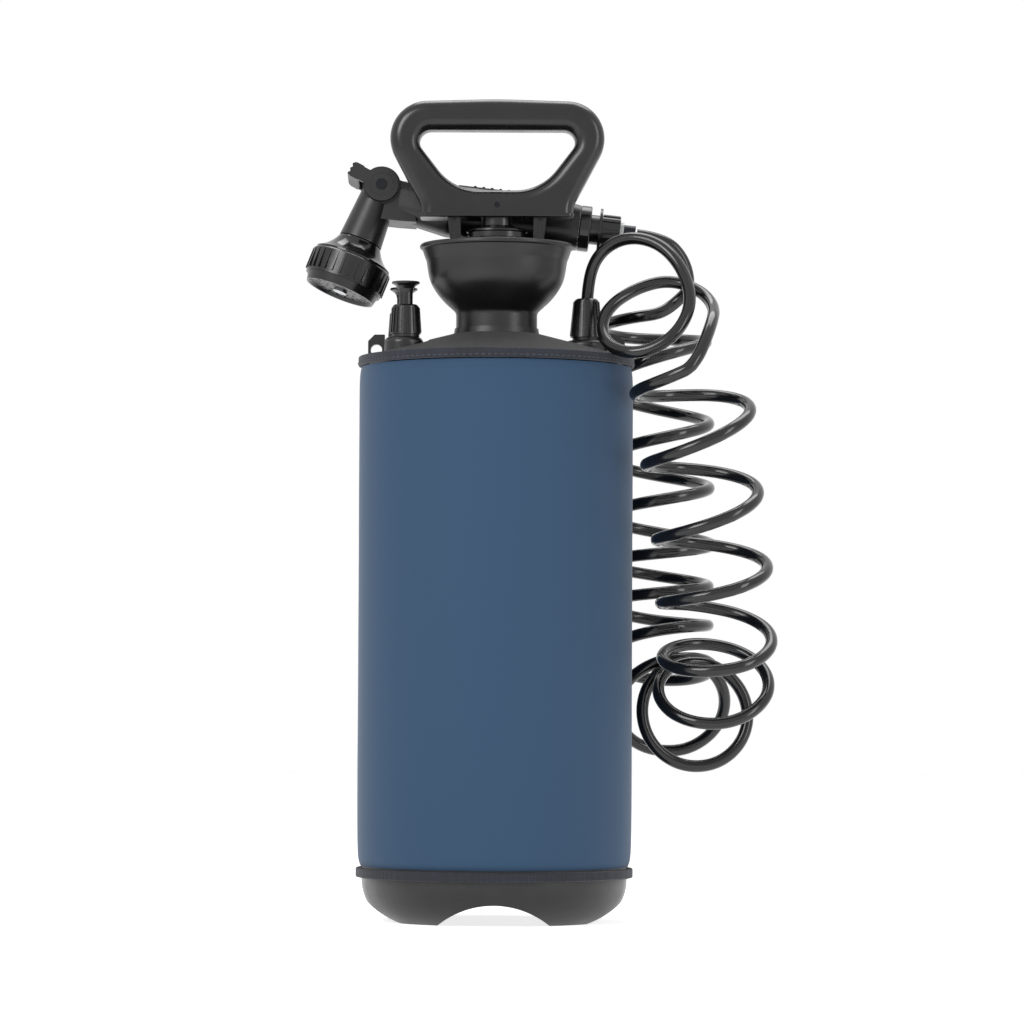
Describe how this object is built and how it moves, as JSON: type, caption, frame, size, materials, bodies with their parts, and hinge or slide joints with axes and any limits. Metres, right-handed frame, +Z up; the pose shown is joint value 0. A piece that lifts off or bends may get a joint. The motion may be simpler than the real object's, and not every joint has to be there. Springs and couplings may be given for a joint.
{
  "type": "portable pressure shower",
  "caption": "Portable pressure shower: sleeved tank with hand pump, filling funnel, relief valves, coiled hose and trigger handset.",
  "frame": {"origin": "on the floor under the tank's axis", "axes": "+Z up along the tank's axis, front of the tank at -Y, hose coil at +X, shower head at -X"},
  "size_m": [0.3328, 0.2292, 0.5712],
  "materials": {
    "tank_black": "satin blow-moulded polyethylene",
    "black_plastic": "satin moulded plastic",
    "gloss_black_plastic": "gloss moulded plastic",
    "blue_knit": "steel-blue fine knit over foam",
    "black_fabric": "woven black fabric",
    "seal_rubber": "soft rubber",
    "grip_rubber": "soft-touch rubber",
    "hose_black": "smooth gloss black hose",
    "steel": "stainless",
    "dark_aluminium": "black anodised",
    "pale_plastic": "natural nylon"
  },
  "bodies": {
    "tank": {"tank_shell": "tank_black", "strap_lugs": "black_plastic", "sleeve": "blue_knit", "sleeve_top_binding": "black_fabric", "sleeve_bottom_binding": "black_fabric", "shoulder_cover": "black_fabric", "funnel_gasket": "seal_rubber", "funnel": "black_plastic", "handset_rest": "black_plastic", "front_valve_body": "black_plastic", "front_valve_cap": "black_plastic", "rear_valve_body": "black_plastic", "rear_valve_cap": "black_plastic", "outlet_spigot": "black_plastic", "outlet_nut": "black_plastic", "outlet_seal": "seal_rubber", "dip_tube": "black_plastic", "strainer": "black_plastic", "handset_body": "black_plastic", "grip_pad": "grip_rubber", "lever_axle": "steel", "head_skirt": "gloss_black_plastic", "face_screw": "steel", "dial_seal": "seal_rubber", "grip_end_cap": "gloss_black_plastic", "connector_body": "black_plastic", "connector_nut": "black_plastic", "connector_collar": "pale_plastic", "hose_ferrule": "dark_aluminium", "hose_outlet_run": "hose_black", "hose_coil": "hose_black", "hose_handset_run": "hose_black"},
    "barrel": {"pump_barrel": "black_plastic", "pump_seal": "seal_rubber", "pump_cap": "gloss_black_plastic", "check_valve": "seal_rubber"},
    "rod": {"pump_handle": "gloss_black_plastic", "pump_rod": "black_plastic", "rod_pin": "steel", "piston": "black_plastic", "piston_seal": "seal_rubber"},
    "front_valve": {"front_valve_plunger": "black_plastic", "front_valve_seal": "seal_rubber", "front_valve_spring": "steel"},
    "rear_valve": {"rear_valve_plunger": "black_plastic", "rear_valve_seal": "seal_rubber", "rear_valve_spring": "steel"},
    "lever": {"thumb_lever": "black_plastic"},
    "dial": {"spray_dial": "gloss_black_plastic", "spray_face": "black_plastic"}
  },
  "joints": [
    {"name": "pump_lift", "type": "slide", "parent": "tank", "child": "barrel", "axis": [0, 0, 1], "range_m": [0, 0.32]},
    {"name": "pump_stroke", "type": "slide", "parent": "barrel", "child": "rod", "axis": [0, 0, 1], "range_m": [0, 0.2]},
    {"name": "front_valve_pull", "type": "slide", "parent": "tank", "child": "front_valve", "axis": [0, 0, 1], "range_m": [0, 0.004], "stiffness_N_per_m": 800, "springref_m": -0.003, "deforming": ["front_valve_spring"]},
    {"name": "rear_valve_pull", "type": "slide", "parent": "tank", "child": "rear_valve", "axis": [0, 0, 1], "range_m": [0, 0.004], "stiffness_N_per_m": 800, "springref_m": -0.003, "deforming": ["rear_valve_spring"]},
    {"name": "lever_turn", "type": "hinge", "parent": "tank", "child": "lever", "pos_m": [-0.08168, 0.04039, 0.5135], "axis": [-0.0138, 0.9925, -0.1211], "range_deg": [0, 45]},
    {"name": "dial_turn", "type": "hinge", "parent": "tank", "child": "dial", "pos_m": [-0.08168, 0.04039, 0.5135], "axis": [-0.3608, -0.1179, -0.9252], "continuous": true}
  ]
}
